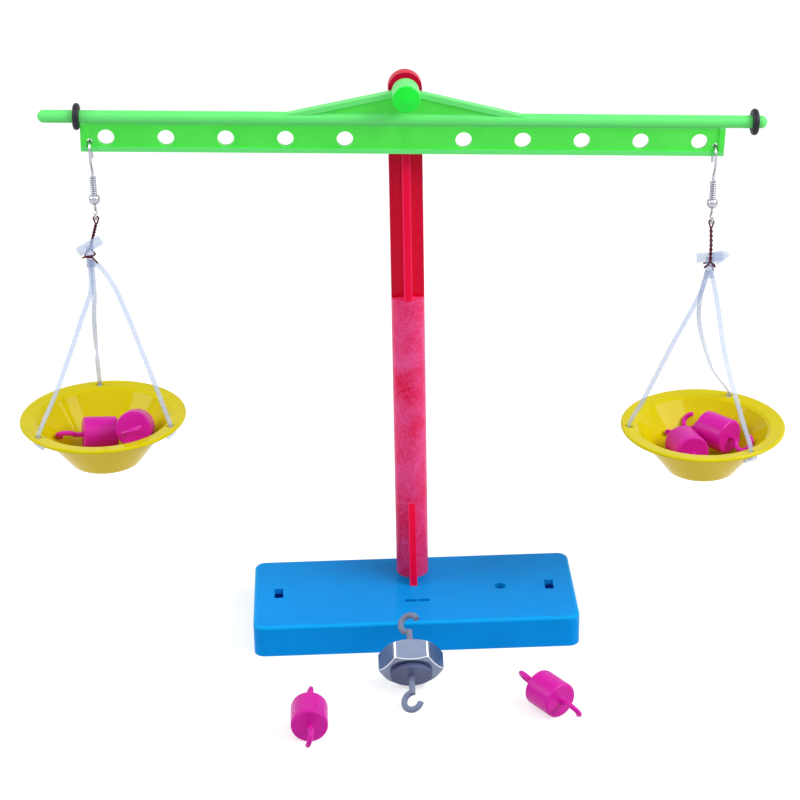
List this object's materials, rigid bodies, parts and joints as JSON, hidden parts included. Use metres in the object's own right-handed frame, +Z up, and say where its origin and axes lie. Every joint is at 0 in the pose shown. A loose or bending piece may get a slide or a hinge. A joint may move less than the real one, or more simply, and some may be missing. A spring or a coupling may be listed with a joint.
{
  "type": "lever balance",
  "caption": "Table-top lever balance: a pierced beam tilts on a post and carries bowls on wire hooks and soft straps, with hooked weights beside it.",
  "frame": {"origin": "middle of the base's footprint, on the table", "axes": "+X along the beam to the right, +Y to the back, +Z up"},
  "size_m": [0.2042, 0.0929, 0.1548],
  "materials": {
    "blue_plastic": "gloss",
    "red_plastic": "gloss",
    "green_plastic": "satin",
    "black_rubber": "satin",
    "silver_wire": "bright",
    "copper_wire": "satin",
    "white_strap": "satin",
    "yellow_plastic": "gloss",
    "pink_plastic": "satin",
    "grey_plastic": "satin",
    "zinc_steel": "bright zinc"
  },
  "bodies": {
    "stand": {"base": "blue_plastic", "post": "red_plastic"},
    "beam": {"beam": "green_plastic"},
    "left_ring": {"left_balance_ring": "black_rubber"},
    "right_ring": {"right_balance_ring": "black_rubber"},
    "left_hook": {"left_ear_wire": "silver_wire", "left_hook_coil": "silver_wire", "left_hook_bead": "silver_wire"},
    "right_hook": {"right_ear_wire": "silver_wire", "right_hook_coil": "silver_wire", "right_hook_bead": "silver_wire"},
    "left_bowl": {"left_tie_wire": "copper_wire", "left_hanger": "white_strap", "left_pan": "yellow_plastic"},
    "right_bowl": {"right_tie_wire": "copper_wire", "right_hanger": "white_strap", "right_pan": "yellow_plastic"},
    "left_lying": {"left_weight_lying": "pink_plastic"},
    "left_leaning": {"left_weight_leaning": "pink_plastic"},
    "right_left": {"right_weight_left": "pink_plastic"},
    "right_right": {"right_weight_right": "pink_plastic"},
    "table_left": {"table_weight_left": "pink_plastic"},
    "table_right": {"table_weight_right": "pink_plastic"},
    "nut_weight": {"nut_weight_core": "grey_plastic", "hex_nut": "zinc_steel"}
  },
  "joints": [
    {"name": "beam_tilt", "type": "hinge", "parent": "stand", "child": "beam", "pos_m": [0, 0.0036, 0.1502], "axis": [0, 1, 0], "range_deg": [-30, 30]},
    {"name": "left_ring_slide", "type": "slide", "parent": "beam", "child": "left_ring", "axis": [-0.9993, 0, 0.0384], "range_m": [0, 0.007]},
    {"name": "right_ring_slide", "type": "slide", "parent": "beam", "child": "right_ring", "axis": [0.9993, 0, -0.0384], "range_m": [-0.0065, 0.0007]},
    {"name": "left_hook_swing", "type": "hinge", "parent": "beam", "child": "left_hook", "pos_m": [-0.07956, 0.0036, 0.13976], "axis": [0, 1, 0], "range_deg": [-30, 30]},
    {"name": "left_bowl_swing", "type": "hinge", "parent": "left_hook", "child": "left_bowl", "pos_m": [-0.07956, 0.0036, 0.12006], "axis": [1, 0, 0], "range_deg": [-25, 25]},
    {"name": "right_hook_swing", "type": "hinge", "parent": "beam", "child": "right_hook", "pos_m": [0.07853, 0.0036, 0.13369], "axis": [0, 1, 0], "range_deg": [-30, 30]},
    {"name": "right_bowl_swing", "type": "hinge", "parent": "right_hook", "child": "right_bowl", "pos_m": [0.07853, 0.0036, 0.11399], "axis": [1, 0, 0], "range_deg": [-25, 25]},
    {"name": "left_lying_lift", "type": "slide", "parent": "left_bowl", "child": "left_lying", "axis": [0.1116, -0.633, 0.766], "range_m": [0, 0.05]},
    {"name": "left_leaning_lift", "type": "slide", "parent": "left_lying", "child": "left_leaning", "axis": [-0.0868, -0.4924, 0.866], "range_m": [0, 0.05]},
    {"name": "right_left_lift", "type": "slide", "parent": "right_bowl", "child": "right_left", "axis": [0.0868, -0.4924, 0.866], "range_m": [0, 0.05]},
    {"name": "right_right_lift", "type": "slide", "parent": "right_bowl", "child": "right_right", "axis": [0.383, -0.3214, 0.866], "range_m": [0, 0.05]},
    {"name": "table_left_lift", "type": "slide", "parent": "stand", "child": "table_left", "axis": [0, 0, 1], "range_m": [0, 0.05]},
    {"name": "table_right_lift", "type": "slide", "parent": "stand", "child": "table_right", "axis": [0, 0, 1], "range_m": [0, 0.05]},
    {"name": "nut_weight_lift", "type": "slide", "parent": "stand", "child": "nut_weight", "axis": [0, 0, 1], "range_m": [0, 0.05]}
  ],
  "couplings": [
    {"joint": "left_hook_swing", "follows": "beam_tilt", "ratio": -1},
    {"joint": "right_hook_swing", "follows": "beam_tilt", "ratio": -1}
  ]
}
